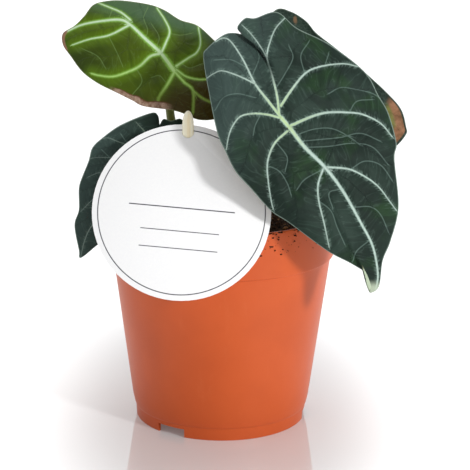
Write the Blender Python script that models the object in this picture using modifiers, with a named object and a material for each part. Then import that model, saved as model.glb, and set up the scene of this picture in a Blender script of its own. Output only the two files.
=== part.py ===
"""A potted aroid with dark, silver-veined leaves, in a plastic nursery pot with a round card on a wooden stick.

Frame: metres, +Z up. The origin is on the pot's axis, at the surface that the pot stands on.
The viewer's side is -Y. Each leaf is drawn as it is seen from VIEWPOINT: its outline in
millimetres across and up from where its stalk joins it, and its relief towards the viewer.
"""

import math

import bmesh
import bpy
import numpy as np
from mathutils import Vector

MM = 0.001
GAP = 0.3 * MM

# Where the drawings are seen from: how far it looks down and how far it is rolled, in degrees
VIEWPOINT = Vector((0.0, -950 * MM, 359 * MM))
VIEW_DOWN = 15.2
VIEW_ROLL = 0.6

# Pot
RIM_RADIUS = 61.5 * MM
RIM_TOP = 117.5 * MM
BAND_LOW_RADIUS = 60.6 * MM
BAND_LOW = 92.5 * MM
BODY_TOP_RADIUS = 59.1 * MM
BODY_FOOT_RADIUS = 47.8 * MM
FOOT_RADIUS = 46.4 * MM
FOOT_HEIGHT = 6.9 * MM
BODY_CORNER = 5.0 * MM
POT_WALL = 1.4 * MM
POT_FLOOR = 1.6 * MM
POT_STEPS = 60
FLOOR_CORNER = 2.0 * MM
BAND_STEP = 1.5 * MM
EDGE = 0.5 * MM
LIP = 0.8 * MM
BOSS_RADIUS = 12.0 * MM

# Openings in the foot and floor: three notches, a slit above each, and three round drain holes
NOTCH_ANGLES = (-35, 85, 205)
NOTCH_SPREAD = 21
NOTCH_HEIGHT = 4.7 * MM
NOTCH_IN, NOTCH_OUT = 4.0 * MM, 6.0 * MM
SLIT_IN, SLIT_OUT = 5.0 * MM, 2.2 * MM
SLIT_TURN = -5
SLIT_SPREAD = 10
DRAIN_RADIUS = 4.0 * MM
DRAIN_RING = 27.0 * MM
DRAIN_TURN = 60
CUT_SPARE = 2.0 * MM

# Soil
SOIL_EDGE = 112.5 * MM
SOIL_MOUND = 3.0 * MM
SOIL_RINGS = 12
SOIL_STEPS = 40
CLUMP = 1.0 * MM
STOCK_CLEAR = 1.0 * MM

# Rootstock and leaf stalks
STOCK_RADIUS = 10.0 * MM
STOCK_DEPTH = 24.0 * MM
STOCK_TOP = 121.0 * MM
SCAR_RINGS = 5
SHEATH = 0.7 * MM
SHEATH_SHARE = 0.3
UPRIGHT = 6.0 * MM
STALK_BASE = 2.7 * MM
STALK_TOP = 2.1 * MM
STALK_POINTS = 24
STALK_RING = 6.0 * MM
JOINT_GAP = 0.5 * MM
STALK_STUB = 9.0 * MM

# Leaves
BLADE = 0.7 * MM
AROUND = 36
ACROSS = 8
LOBE_SHARE = 0.12
LIFT_SHARE = 0.14
TIP_SHARE = 0.02
BEND_START = 0.8
LAST_BEND = 0.9

# Card and its stick
CARD_RADIUS = 45.5 * MM
CARD_THICK = 0.7 * MM
CARD_LEAN = 25
CARD_CENTRE = Vector((-20.6, -57.2, 128.3)) * MM
STICK_WIDTH = 5.8 * MM
STICK_THICK = 2.0 * MM
STICK_PLACE = Vector((-17.8, -40.0, 0)) * MM
STICK_TOP = 177.2 * MM
STICK_LENGTH = 92 * MM
STICK_SHOULDER = 7.0 * MM
STICK_SIDES = 20
SLOT_CLEAR = 0.25 * MM


def clear_scene():
    for thing in list(bpy.data.objects):
        bpy.data.objects.remove(thing)


def collection(name):
    made = bpy.data.collections.new(name)
    bpy.context.scene.collection.children.link(made)
    return made


def material(name, colour, roughness):
    made = bpy.data.materials.new(name)
    made.use_nodes = True
    shader = made.node_tree.nodes["Principled BSDF"]
    shader.inputs["Base Color"].default_value = (*colour, 1)
    shader.inputs["Roughness"].default_value = roughness
    made.diffuse_color = (*colour, 1)
    return made


def add(name, mesh, group, finish, smooth=True):
    thing = bpy.data.objects.new(name, mesh)
    group.objects.link(thing)
    mesh.materials.clear()
    mesh.materials.append(finish)
    if smooth:
        mesh.shade_smooth()
        mesh.set_sharp_from_angle(angle=math.radians(40))
    return thing


def polar(radius, degrees, height=0.0):
    """A point at that radius, with 0 degrees towards the viewer and positive to the right."""
    turn = math.radians(degrees)
    return Vector((radius * math.sin(turn), -radius * math.cos(turn), height))


# Smooth lines through chosen points


def smooth_line(points, count):
    """count points along a Catmull-Rom curve through the given points, evenly spread by their number."""
    known = np.array(points, float)
    ends = np.vstack([2 * known[0] - known[1], known, 2 * known[-1] - known[-2]])
    line = []
    for place in np.linspace(0, len(known) - 1, count):
        i = min(int(place), len(known) - 2)
        t = place - i
        a, b, c, d = ends[i : i + 4]
        line.append(
            0.5 * (2 * b + (c - a) * t + (2 * a - 5 * b + 4 * c - d) * t * t + (3 * b - a - 3 * c + d) * t**3)
        )
    return np.array(line)


def even_line(points, count):
    """The same curve with its points evenly spread by length."""
    fine = smooth_line(points, 40 * len(points))
    steps = np.linalg.norm(np.diff(fine, axis=0), axis=1)
    run = np.concatenate([[0], np.cumsum(steps)])
    places = np.linspace(0, run[-1], count)
    return np.stack([np.interp(places, run, fine[:, k]) for k in range(fine.shape[1])], axis=1)


# Pot and soil


def turned(name, profile, group, finish, steps=POT_STEPS):
    """A solid turned about Z from (radius, height) points that run down its outer side."""
    mesh = bpy.data.meshes.new(name)
    points = [(radius, 0, height) for radius, height in profile]
    mesh.from_pydata(points, [(i, i + 1) for i in range(len(points) - 1)], [])
    thing = add(name, mesh, group, finish, smooth=False)
    screw = thing.modifiers.new("turn", "SCREW")
    screw.steps = steps
    screw.render_steps = steps
    screw.use_merge_vertices = True
    screw.merge_threshold = 0.00001
    screw.use_smooth_shade = True
    return thing


def cut(thing, cutter, helpers):
    cutter.hide_render = True
    cutter.display_type = "WIRE"
    for owner in list(cutter.users_collection):
        owner.objects.unlink(cutter)
    helpers.objects.link(cutter)
    boolean = thing.modifiers.new("cut", "BOOLEAN")
    boolean.operation = "DIFFERENCE"
    boolean.object = cutter


def pot_profile():
    """(radius, height) up the inside, over the rim, down the outside and under the foot."""
    inner_top = RIM_RADIUS - POT_WALL
    inner_band = BAND_LOW_RADIUS - POT_WALL
    inner_body = BODY_TOP_RADIUS - POT_WALL
    inner_low = BODY_FOOT_RADIUS - POT_WALL
    floor_top = FOOT_HEIGHT + POT_FLOOR
    return [
        (0, floor_top),
        (inner_low - FLOOR_CORNER, floor_top),
        (inner_low, floor_top + FLOOR_CORNER),
        (inner_body, BAND_LOW - BAND_STEP),
        (inner_band, BAND_LOW + BAND_STEP),
        (inner_top, RIM_TOP - EDGE),
        (inner_top + EDGE, RIM_TOP),
        (RIM_RADIUS - EDGE, RIM_TOP),
        (RIM_RADIUS, RIM_TOP - LIP),
        (RIM_RADIUS, RIM_TOP - 4 * LIP),
        (BAND_LOW_RADIUS, BAND_LOW + EDGE),
        (BAND_LOW_RADIUS - EDGE, BAND_LOW),
        (BODY_TOP_RADIUS, BAND_LOW - EDGE),
        (BODY_FOOT_RADIUS + EDGE, FOOT_HEIGHT + BODY_CORNER),
        (BODY_FOOT_RADIUS - EDGE, FOOT_HEIGHT + EDGE),
        (BODY_FOOT_RADIUS - 2 * EDGE, FOOT_HEIGHT - EDGE),
        (FOOT_RADIUS, 0),
        (FOOT_RADIUS - POT_WALL, 0),
        (FOOT_RADIUS - POT_WALL, FOOT_HEIGHT),
        (BOSS_RADIUS + EDGE, FOOT_HEIGHT),
        (BOSS_RADIUS, 0),
        (0, 0),
    ]


def sector(name, inner, outer, middle, spread, low, high):
    """A closed wedge of a ring, used as a cutter."""
    steps = 6
    builder = bmesh.new()
    rings = []
    for i in range(steps + 1):
        angle = middle + spread * (i / steps - 0.5)
        corners = ((inner, low), (outer, low), (outer, high), (inner, high))
        rings.append([builder.verts.new(polar(radius, angle, z)) for radius, z in corners])
    for a, b in zip(rings, rings[1:]):
        for k in range(4):
            builder.faces.new((a[k], a[(k + 1) % 4], b[(k + 1) % 4], b[k]))
    builder.faces.new(rings[0][::-1])
    builder.faces.new(rings[-1])
    bmesh.ops.recalc_face_normals(builder, faces=builder.faces)
    mesh = bpy.data.meshes.new(name)
    builder.to_mesh(mesh)
    builder.free()
    return bpy.data.objects.new(name, mesh)


def cylinder_cutter(name, radius, low, high, place):
    bpy.ops.mesh.primitive_cylinder_add(
        vertices=20, radius=radius, depth=high - low, location=(place.x, place.y, (low + high) / 2)
    )
    thing = bpy.context.object
    thing.name = name
    return thing


def make_pot(group, helpers, finish):
    pot = turned("pot", pot_profile(), group, finish)
    over_floor = FOOT_HEIGHT + POT_FLOOR + CUT_SPARE
    for k, angle in enumerate(NOTCH_ANGLES):
        inside, outside = FOOT_RADIUS - NOTCH_IN, FOOT_RADIUS + NOTCH_OUT
        cut(pot, sector(f"notch_{k}", inside, outside, angle, NOTCH_SPREAD, -CUT_SPARE, NOTCH_HEIGHT), helpers)
        inside, outside = FOOT_RADIUS - SLIT_IN, FOOT_RADIUS - SLIT_OUT
        low, turn = NOTCH_HEIGHT - CUT_SPARE, angle + SLIT_TURN
        cut(pot, sector(f"slit_{k}", inside, outside, turn, SLIT_SPREAD, low, over_floor), helpers)
        place = polar(DRAIN_RING, angle + DRAIN_TURN)
        cut(pot, cylinder_cutter(f"drain_{k}", DRAIN_RADIUS, -CUT_SPARE, over_floor, place), helpers)
    return pot


def soil_height(radius, angle):
    """The soil's top: a low mound with clumps, flat where it meets the pot."""
    share = radius / (RIM_RADIUS - POT_WALL)
    x = radius * math.sin(angle) / MM
    y = -radius * math.cos(angle) / MM
    lumps = math.sin(0.43 * x + 1.1) * math.sin(0.39 * y + 0.4) + 0.6 * math.sin(0.83 * x - 0.5 * y + 2.0)
    lumps += 0.5 * math.sin(0.71 * y + 0.9 * x)
    fade = min(1.0, 6 * (1 - share))
    return SOIL_EDGE + SOIL_MOUND * (1 - share**2) + CLUMP * lumps * fade


def make_soil(group, helpers, finish):
    """A plug of soil: the pot's inside below, clumps on top, and a plain hole for each thing that stands in it."""
    floor_top = FOOT_HEIGHT + POT_FLOOR + GAP
    inner_low = BODY_FOOT_RADIUS - POT_WALL - 1.7 * GAP
    inner_body = BODY_TOP_RADIUS - POT_WALL - 1.7 * GAP
    inner_band = BAND_LOW_RADIUS - POT_WALL - 1.3 * GAP
    rise = (SOIL_EDGE - BAND_LOW) / (RIM_TOP - BAND_LOW)
    inner_top = inner_band + (RIM_RADIUS - BAND_LOW_RADIUS) * rise
    wall = [
        (inner_top, SOIL_EDGE),
        (inner_band, BAND_LOW + BAND_STEP + 3 * GAP),
        (inner_body, BAND_LOW - BAND_STEP),
        (inner_low, floor_top + FLOOR_CORNER),
        (inner_low - FLOOR_CORNER, floor_top),
    ]
    builder = bmesh.new()
    turns = [2 * math.pi * k / SOIL_STEPS for k in range(SOIL_STEPS)]
    rings = []
    for i in range(1, SOIL_RINGS):
        radius = inner_top * i / SOIL_RINGS
        rings.append([(radius, a, soil_height(radius, a)) for a in turns])
    for radius, z in wall:
        rings.append([(radius, a, z) for a in turns])
    top = builder.verts.new((0, 0, soil_height(0, 0)))
    bottom = builder.verts.new((0, 0, floor_top))
    made = [[builder.verts.new((r * math.sin(a), -r * math.cos(a), z)) for r, a, z in ring] for ring in rings]
    for k in range(SOIL_STEPS):
        n = (k + 1) % SOIL_STEPS
        builder.faces.new((top, made[0][k], made[0][n]))
        builder.faces.new((bottom, made[-1][n], made[-1][k]))
        for a, b in zip(made, made[1:]):
            builder.faces.new((a[k], b[k], b[n], a[n]))
    bmesh.ops.recalc_face_normals(builder, faces=builder.faces)
    mesh = bpy.data.meshes.new("soil")
    builder.to_mesh(mesh)
    builder.free()
    soil = add("soil", mesh, group, finish)
    low = STOCK_TOP - STOCK_DEPTH - STOCK_CLEAR
    above = STOCK_TOP + 10 * CUT_SPARE
    cut(soil, cylinder_cutter("stock_hole", STOCK_RADIUS + STOCK_CLEAR, low, above, Vector()), helpers)
    cut(soil, stick_solid("stick_hole", 2 * GAP, True), helpers)
    return soil


# Rootstock and stalks


def make_stock(group, finish):
    """The short rootstock that the stalks grow from, with the rings that old leaves leave."""
    base = STOCK_TOP - STOCK_DEPTH
    profile = [(0, STOCK_TOP), (STOCK_RADIUS * 0.55, STOCK_TOP - 1.0 * MM)]
    end = 2.5 * MM
    scar = 1.6 * MM
    for k in range(SCAR_RINGS):
        z = STOCK_TOP - end - k * (STOCK_DEPTH - 2 * end) / SCAR_RINGS
        swell = STOCK_RADIUS * (0.86 + 0.1 * math.sin(1.3 * k))
        profile += [(swell, z), (swell * 0.93, z - scar)]
    profile += [(STOCK_RADIUS * 0.5, base + 0.8 * MM), (0, base)]
    return turned("rootstock", profile, group, finish, steps=24)


def swept(name, path, radii, sides):
    """A closed round bar along a path whose radius changes from point to point."""
    curve = bpy.data.curves.new(name, "CURVE")
    curve.dimensions = "3D"
    curve.bevel_depth = 1.0
    curve.bevel_resolution = sides
    curve.use_fill_caps = True
    spline = curve.splines.new("POLY")
    spline.points.add(len(path) - 1)
    for place, point, radius in zip(spline.points, path, radii):
        place.co = (*point, 1)
        place.radius = radius
    thing = bpy.data.objects.new(name, curve)
    bpy.context.scene.collection.objects.link(thing)
    return thing


def as_mesh(thing):
    """The curve as a mesh object with its caps welded."""
    bpy.context.view_layer.update()
    graph = bpy.context.evaluated_depsgraph_get()
    mesh = bpy.data.meshes.new_from_object(thing.evaluated_get(graph))
    builder = bmesh.new()
    builder.from_mesh(mesh)
    bmesh.ops.remove_doubles(builder, verts=builder.verts, dist=0.00001)
    bmesh.ops.recalc_face_normals(builder, faces=builder.faces)
    builder.to_mesh(mesh)
    builder.free()
    mesh.transform(thing.matrix_world)
    bpy.data.objects.remove(thing)
    return mesh


def make_stalk(name, route, group, finish):
    """A leaf stalk along a route in millimetres, thicker and sheathed at its base."""
    path = even_line(route, STALK_POINTS) * MM
    radii = []
    for k in range(len(path)):
        t = k / (len(path) - 1)
        sheath = SHEATH * max(0.0, 1 - t / SHEATH_SHARE)
        radii.append(STALK_BASE + (STALK_TOP - STALK_BASE) * t + sheath)
    return add(name, as_mesh(swept(name, path, radii, 3)), group, finish)


# Leaves


def view_axes():
    """Across, up and towards, as seen from the viewpoint, for everything drawn from there."""
    down, roll = math.radians(VIEW_DOWN), math.radians(VIEW_ROLL)
    across = Vector((1, 0, 0))
    up = Vector((0, math.sin(down), math.cos(down)))
    towards = across.cross(up)
    return (
        across * math.cos(roll) + up * math.sin(roll),
        up * math.cos(roll) - across * math.sin(roll),
        towards,
    )


ACROSS_AXIS, UP_AXIS, TOWARDS_AXIS = view_axes()


def ease(t):
    t = min(max(t, 0.0), 1.0)
    return t * t * (3 - 2 * t)


def rim_of(leaf, count):
    """The blade's edge from its notch round and back: run, place, bearing and base bearing of each point."""
    closed = even_line(leaf["outline"] + leaf["outline"][:1], count + 1)[:count]
    bearings = np.unwrap(np.arctan2(closed[:, 0], closed[:, 1]))
    run = np.arange(count) / count
    turning = math.copysign(1.0, bearings[-1] - bearings[0])
    whole = bearings[0] + turning * 2 * math.pi
    rising = np.maximum.accumulate(turning * bearings)
    falling = np.minimum.accumulate((turning * bearings)[::-1])[::-1]
    base = turning * (rising + falling) / 2
    right_end = np.interp(LOBE_SHARE, run, base)
    left_end = np.interp(1 - LOBE_SHARE, run, base)
    first, last = run < LOBE_SHARE, run > 1 - LOBE_SHARE
    base[first] = bearings[0] + (right_end - bearings[0]) * run[first] / LOBE_SHARE
    base[last] = left_end + (whole - left_end) * (run[last] - 1 + LOBE_SHARE) / LOBE_SHARE
    spread = max(1, round(TIP_SHARE * count))
    middle = slice(spread, count - spread)
    blurred = np.convolve(base, np.ones(2 * spread + 1) / (2 * spread + 1), mode="same")
    base[middle] = blurred[middle]
    return run, closed, bearings, base


def spoke_point(place, run, bearing, base, notch_reach, share):
    """A point on the line from the stalk to the edge; past the notch the line bends into its lobe."""
    reach = math.hypot(*place)
    in_lobe = run < LOBE_SHARE or run > 1 - LOBE_SHARE
    start = min(BEND_START * notch_reach / reach, LAST_BEND) if in_lobe else BEND_START
    turn = base + (bearing - base) * ease((share - start) / (1 - start))
    radius = share * reach
    return radius * math.sin(turn), radius * math.cos(turn)


def relief(leaf, x, y, share, run, bearing):
    """How far that point of the blade stands towards the viewer from the stalk's joint, in millimetres."""
    tilt_x, tilt_y = leaf["tilt"]
    height = tilt_x * x + tilt_y * y
    height += leaf["bow"] * (math.hypot(x, y) / 50) ** 2
    height -= leaf["droop"] * share**4
    height += leaf["wave"] * share**3 * math.sin(leaf["waves"] * bearing + leaf["phase"])
    side = run if run < 0.5 else run - 1
    lobes = math.sin(math.pi * ease(abs(side) / LIFT_SHARE)) * np.sign(side)
    return height + leaf["lift"] * ease((share - 0.3) / 0.5) * lobes


def in_space(leaf, x, y, height):
    """The point that is seen at (x, y) in the leaf's drawing and stands at that height."""
    joint = Vector(leaf["joint"]) * MM
    flat = joint + (ACROSS_AXIS * x + UP_AXIS * y) * MM
    depth = (VIEWPOINT - joint).dot(TOWARDS_AXIS)
    return VIEWPOINT + (flat - VIEWPOINT) * (1 - height * MM / depth)


def make_blade(name, leaf, group, finish):
    run, closed, bearings, base = rim_of(leaf, AROUND)
    notch_reach = math.hypot(*closed[0])
    builder = bmesh.new()
    centre = builder.verts.new(in_space(leaf, 0, 0, 0))
    rings = []
    for i in range(1, ACROSS + 1):
        share = i / ACROSS
        ring = []
        for k in range(AROUND):
            x, y = spoke_point(closed[k], run[k], bearings[k], base[k], notch_reach, share)
            height = relief(leaf, x, y, share, run[k], bearings[k])
            ring.append(builder.verts.new(in_space(leaf, x, y, height)))
        rings.append(ring)
    for k in range(AROUND):
        n = (k + 1) % AROUND
        builder.faces.new((centre, rings[0][n], rings[0][k]))
        for low, high in zip(rings, rings[1:]):
            builder.faces.new((low[k], low[n], high[n], high[k]))
    bmesh.ops.triangulate(builder, faces=builder.faces)
    bmesh.ops.recalc_face_normals(builder, faces=builder.faces)
    if builder.faces[0].normal.dot(TOWARDS_AXIS) < 0:
        bmesh.ops.reverse_faces(builder, faces=builder.faces)
    mesh = bpy.data.meshes.new(name)
    builder.to_mesh(mesh)
    builder.free()
    blade = add(name, mesh, group, finish)
    thicken = blade.modifiers.new("thickness", "SOLIDIFY")
    thicken.thickness = BLADE
    thicken.offset = -1
    return blade


def joint_end(leaf):
    """The stalk's last two points: it meets the blade square on, just clear of it."""
    tilt_x, tilt_y = leaf["tilt"]
    joint = in_space(leaf, 0, 0, 0)
    normal = (in_space(leaf, 1, 0, tilt_x) - joint).cross(in_space(leaf, 0, 1, tilt_y) - joint).normalized()
    if leaf["underside_shows"]:
        return [(joint + normal * STALK_STUB) / MM, (joint + normal * JOINT_GAP) / MM]
    return [(joint - normal * STALK_STUB) / MM, (joint - normal * (BLADE + JOINT_GAP)) / MM]


def stalk_route(leaf):
    foot = polar(STALK_RING, leaf["foot"], STOCK_TOP + GAP)
    start = [foot / MM, (foot + Vector((0, 0, UPRIGHT))) / MM]
    return [tuple(p) for p in start] + leaf["route"] + [tuple(p) for p in joint_end(leaf)]


FRONT = {
    "joint": (29.2, -54.0, 176.9),
    "outline": [
        (-7, 29), (-9, 33), (-13, 37), (-18, 42), (-22, 45), (-18, 50), (-13, 50), (-2, 53), (8, 45),
        (24, 37), (42, 23), (49, 11), (54, 2), (58, -13), (57, -21), (59, -45), (55, -62), (51, -72),
        (49, -85), (44, -88), (46, -81), (36, -74), (23, -67), (4, -53), (-5, -47), (-15, -36),
        (-23, -27), (-28, -17), (-32, -8), (-36, 11), (-39, 30), (-37, 35), (-28, 42), (-20, 42),
        (-14, 39), (-10, 33),
    ],
    "tilt": (-0.30, -0.16),
    "bow": -1.0,
    "droop": 6.0,
    "wave": 1.2,
    "waves": 7,
    "phase": 0.6,
    "lift": 1.6,
    "foot": 35,
    "route": [(9, -14, 142), (19, -31, 163)],
    "underside_shows": False,
}

BACK_LEFT = {
    "joint": (-25.4, -15.0, 192.8),
    "outline": [
        (22, -4), (29, 3), (27, 10), (20, 17), (12, 24), (3, 27), (-5, 32), (-13, 35), (-26, 37),
        (-34, 37), (-42, 35), (-47, 29), (-52, 24), (-58, 20), (-58, 14), (-54, 8), (-48, 0),
        (-40, -6), (-30, -11), (-22, -15), (-16, -18), (-2, -20), (5, -22), (12, -25), (20, -25),
        (29, -22), (30, -14),
    ],
    "tilt": (0.06, -0.42),
    "bow": -5.0,
    "droop": 3.0,
    "wave": 0.9,
    "waves": 5,
    "phase": 0.0,
    "lift": 0.6,
    "foot": -40,
    "route": [(-6.5, -6, 134), (-13, -8, 142), (-23.5, -10, 155), (-28, -8.5, 172)],
    "underside_shows": False,
}

LEFT = {
    "joint": (-36.6, -30.0, 153.4),
    "outline": [
        (4, 14), (6, 17), (10, 16), (15, 17), (18, 12), (17, 1), (12, -10), (0, -26), (-6, -33),
        (-22, -44), (-28, -48), (-37, -55), (-38, -51), (-40, -41), (-40, -36), (-38, -30),
        (-38, -20), (-37, -15), (-33, -5), (-31, 2), (-26, 7), (-16, 14), (-1, 20), (3, 19),
    ],
    "tilt": (-0.10, -0.05),
    "bow": -1.5,
    "droop": 2.5,
    "wave": 0.9,
    "waves": 5,
    "phase": 1.0,
    "lift": 0.6,
    "foot": -130,
    "route": [(-10, 4, 137), (-24, 4, 149), (-34, -5, 152.5)],
    "underside_shows": False,
}

REAR = {
    "joint": (53.9, 30.0, 182.2),
    "outline": [
        (-20, 7), (-29, 17), (-33, 26), (-25, 37), (-17, 36), (-9, 31), (-3, 24), (10, 14),
        (23, 3), (34, -7), (43, -17), (46, -27), (46, -31), (40, -38), (29, -45), (13, -47),
        (-7, -39), (-20, -28), (-33, -12), (-31, 0),
    ],
    "tilt": (-0.20, 0.30),
    "bow": 1.5,
    "droop": -2.5,
    "wave": 0.9,
    "waves": 6,
    "phase": 0.5,
    "lift": 0.6,
    "foot": 130,
    "route": [(10, 5, 142), (30, 5, 160), (49, 9, 175)],
    "underside_shows": True,
}


# Card and stick


def card_axes():
    lean = math.radians(CARD_LEAN)
    up = Vector((0, math.sin(lean), math.cos(lean)))
    return Vector((1, 0, 0)), up, Vector((1, 0, 0)).cross(up)


def place_on_card(mesh):
    """Turns a mesh drawn flat (x across, y up the card, z out of its front) into its place."""
    across, up, out = card_axes()
    for vertex in mesh.vertices:
        x, y, z = vertex.co
        vertex.co = CARD_CENTRE + across * x + up * y + out * z


def prism(name, outline, low, high):
    """A closed solid between two heights with that outline, drawn anticlockwise."""
    builder = bmesh.new()
    bottom = [builder.verts.new((x, y, low)) for x, y in outline]
    top = [builder.verts.new((x, y, high)) for x, y in outline]
    builder.faces.new(bottom[::-1])
    builder.faces.new(top)
    for k in range(len(outline)):
        n = (k + 1) % len(outline)
        builder.faces.new((bottom[k], bottom[n], top[n], top[k]))
    mesh = bpy.data.meshes.new(name)
    builder.to_mesh(mesh)
    builder.free()
    return mesh


def make_card(group, helpers, finish):
    steps = 72
    circle = [
        (CARD_RADIUS * math.cos(2 * math.pi * k / steps), CARD_RADIUS * math.sin(2 * math.pi * k / steps))
        for k in range(steps)
    ]
    mesh = prism("card", circle, -CARD_THICK / 2, CARD_THICK / 2)
    place_on_card(mesh)
    card = add("card", mesh, group, finish, smooth=False)
    cut(card, stick_solid("slot", SLOT_CLEAR, True), helpers)
    return card


def stick_solid(name, spare, blunt):
    """A stick with an oval section and a rounded top, standing upright; spare widens it into a hole for it."""
    low = STICK_TOP - STICK_LENGTH - spare
    if blunt:
        rings = [(low, 1.0), (STICK_TOP + 10 * CUT_SPARE, 1.0)]
    else:
        rings = [(low, 1.0)]
        for k in range(7):
            t = 0.97 * k / 6
            rings.append((STICK_TOP - STICK_SHOULDER * (1 - t), math.sqrt(1 - t * t)))
    builder = bmesh.new()
    made = []
    for z, share in rings:
        across, deep = (STICK_WIDTH / 2 + spare) * share, (STICK_THICK / 2 + spare) * share
        ring = []
        for k in range(STICK_SIDES):
            turn = 2 * math.pi * k / STICK_SIDES
            place = Vector((across * math.cos(turn), deep * math.sin(turn), z))
            ring.append(builder.verts.new(STICK_PLACE + place))
        made.append(ring)
    for a, b in zip(made, made[1:]):
        for k in range(STICK_SIDES):
            n = (k + 1) % STICK_SIDES
            builder.faces.new((a[k], a[n], b[n], b[k]))
    builder.faces.new(made[0][::-1])
    builder.faces.new(made[-1])
    bmesh.ops.recalc_face_normals(builder, faces=builder.faces)
    mesh = bpy.data.meshes.new(name)
    builder.to_mesh(mesh)
    builder.free()
    return bpy.data.objects.new(name, mesh)


def main():
    clear_scene()
    group = collection("potted_aroid")
    helpers = collection("cutters")

    plastic = material("terracotta_plastic", (0.62, 0.16, 0.06), 0.4)
    earth = material("potting_soil", (0.05, 0.03, 0.02), 0.95)
    bark = material("rootstock_bark", (0.20, 0.13, 0.07), 0.8)
    stalk = material("stalk_green", (0.25, 0.30, 0.10), 0.5)
    velvet = material("dark_velvet_leaf", (0.02, 0.06, 0.04), 0.7)
    young = material("young_leaf", (0.08, 0.25, 0.02), 0.5)
    under = material("leaf_underside", (0.30, 0.20, 0.12), 0.6)
    board = material("white_card", (0.9, 0.9, 0.9), 0.6)
    wood = material("pale_wood", (0.85, 0.72, 0.45), 0.6)

    make_pot(group, helpers, plastic)
    make_soil(group, helpers, earth)
    make_stock(group, bark)
    for name, leaf, finish in (
        ("front", FRONT, velvet),
        ("back_left", BACK_LEFT, young),
        ("left", LEFT, velvet),
        ("rear", REAR, under),
    ):
        make_blade(f"blade_{name}", leaf, group, finish)
        make_stalk(f"stalk_{name}", stalk_route(leaf), group, stalk)
    make_card(group, helpers, board)
    stick = stick_solid("card_stick", 0, False)
    stick.data.materials.append(wood)
    group.objects.link(stick)


main()
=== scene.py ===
"""Looks of a potted velvet-leaved aroid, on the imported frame: leaves, stalks, soil, pot, card and stick.

Metres, +Z up, the frame's own axes. Each leaf is drawn in millimetres as it is seen from VIEWPOINT,
across and up from the joint with its stalk, with its relief towards the viewer.
"""

import math
import random

import bmesh
import bpy
import numpy as np
from mathutils import Matrix, Vector, kdtree, noise


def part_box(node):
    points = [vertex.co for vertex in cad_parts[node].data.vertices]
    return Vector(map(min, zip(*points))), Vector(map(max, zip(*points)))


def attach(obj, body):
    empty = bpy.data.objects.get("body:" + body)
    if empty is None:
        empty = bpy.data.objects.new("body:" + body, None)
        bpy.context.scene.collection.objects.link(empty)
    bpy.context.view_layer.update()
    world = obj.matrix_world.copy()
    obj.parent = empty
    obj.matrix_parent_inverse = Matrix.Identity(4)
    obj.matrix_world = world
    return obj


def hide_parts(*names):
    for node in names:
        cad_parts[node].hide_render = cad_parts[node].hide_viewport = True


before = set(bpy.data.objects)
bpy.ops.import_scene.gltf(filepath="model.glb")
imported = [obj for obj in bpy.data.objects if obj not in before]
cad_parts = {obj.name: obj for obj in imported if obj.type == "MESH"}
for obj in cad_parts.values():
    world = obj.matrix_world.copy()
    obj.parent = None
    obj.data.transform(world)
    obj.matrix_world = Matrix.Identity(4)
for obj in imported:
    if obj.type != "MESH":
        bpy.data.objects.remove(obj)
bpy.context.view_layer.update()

MM = 0.001

# The camera, from the ellipses of the pot in the photograph
PHOTO_SIZE = 470
FOCAL_PIXELS = 1816.6
SENSOR = 36.0
VIEWPOINT = Vector((0.0, -950 * MM, 359 * MM))
VIEW_DOWN = 15.2
VIEW_ROLL = 0.6
VIEW_YAW = -0.426

# Each light's place, size across and watts
LIGHTS = {
    "key": ((0.98, -1.02, 0.63), 0.2, 12.0),
    "fill": ((-1.1, -0.6, 0.75), 1.1, 1.0),
    "top": ((0.0, 0.35, 1.4), 1.1, 3.6),
}
LIT_MIDDLE = (0.0, 0.0, 0.12)
AIR_STRENGTH = 0.42

# The pot, as in the frame
POT_STEPS = 240
RIM_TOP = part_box("pot")[1][2]
RIM_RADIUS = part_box("pot")[1][0]
SOIL_EDGE = 112.5 * MM
BAND_LOW = 92.5 * MM
BAND_LOW_RADIUS = 60.6 * MM
BODY_TOP_RADIUS = 59.1 * MM
BODY_FOOT_RADIUS = 47.8 * MM
FOOT_RADIUS = 46.4 * MM
FOOT_HEIGHT = 6.9 * MM
BODY_CORNER = 5.0 * MM
POT_WALL = 1.4 * MM
POT_FLOOR = 1.6 * MM
BOSS_RADIUS = 12.0 * MM
WALL_RING_STEP = 2.5 * MM
NOTCH_ANGLES = (-35, 85, 205)
NOTCH_SPREAD = 21
NOTCH_HEIGHT = 4.7 * MM
SLIT_SPREAD = 10
SLIT_RISE = 3.6 * MM
DRAIN_RADIUS = 4 * MM
DRAIN_PLACE = 27 * MM
DRAIN_TURN = 60

# The soil and what lies loose on it
SOIL_RINGS = 120
SOIL_STEPS = 300
SOIL_DOME = 3.0 * MM
SOIL_DEPTH = 14 * MM
CRUMB_GRAIN = 2.6 * MM
CRUMB_RISE = 0.55 * MM
CRUMB_COUNT = 900
CRUMB_REACH = 57.0 * MM
PALE_CRUMBS = 0.12
CLINGING_COUNT = 110
CLINGING_ARC = (14, 60)
CLINGING_DROP = 13 * MM

# A blade's thickness, and the shares of its outline that its notch lobes and its blunted tip take
BLADE = 0.7
LOBE_SHARE = 0.12
TIP_SHARE = 0.02
VEIN_STEP = 0.35
SMALL_VEIN = (0.3, 0.2)

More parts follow.
